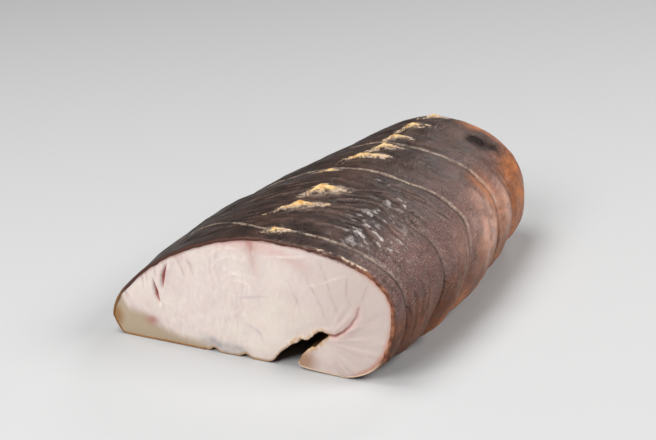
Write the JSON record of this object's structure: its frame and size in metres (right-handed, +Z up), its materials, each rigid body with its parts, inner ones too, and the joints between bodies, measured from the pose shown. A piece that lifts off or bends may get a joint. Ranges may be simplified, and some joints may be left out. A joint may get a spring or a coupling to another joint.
{
  "type": "smoked fish",
  "caption": "Chunk of smoked sturgeon lying on its belly, with dark string-marked skin, a row of scute scars, a pale cut face and a belly slit with one flap curled under.",
  "frame": {"origin": "middle of the overall box at the plane it rests on", "axes": "+Y along the piece from the near cut face to the far one, +Z up towards the fish's back, +X towards the flank whose belly flap is curled under"},
  "size_m": [0.1506, 0.19, 0.0633],
  "materials": {
    "skin": "dark brown smoked fish skin, thin and leathery, with a soft uneven gloss",
    "flesh": "pale pink moist flesh, faint soft gloss",
    "scute": "golden yellow dried scute scars"
  },
  "bodies": {
    "root": {"smoked_fish": "skin"}
  },
  "joints": []
}
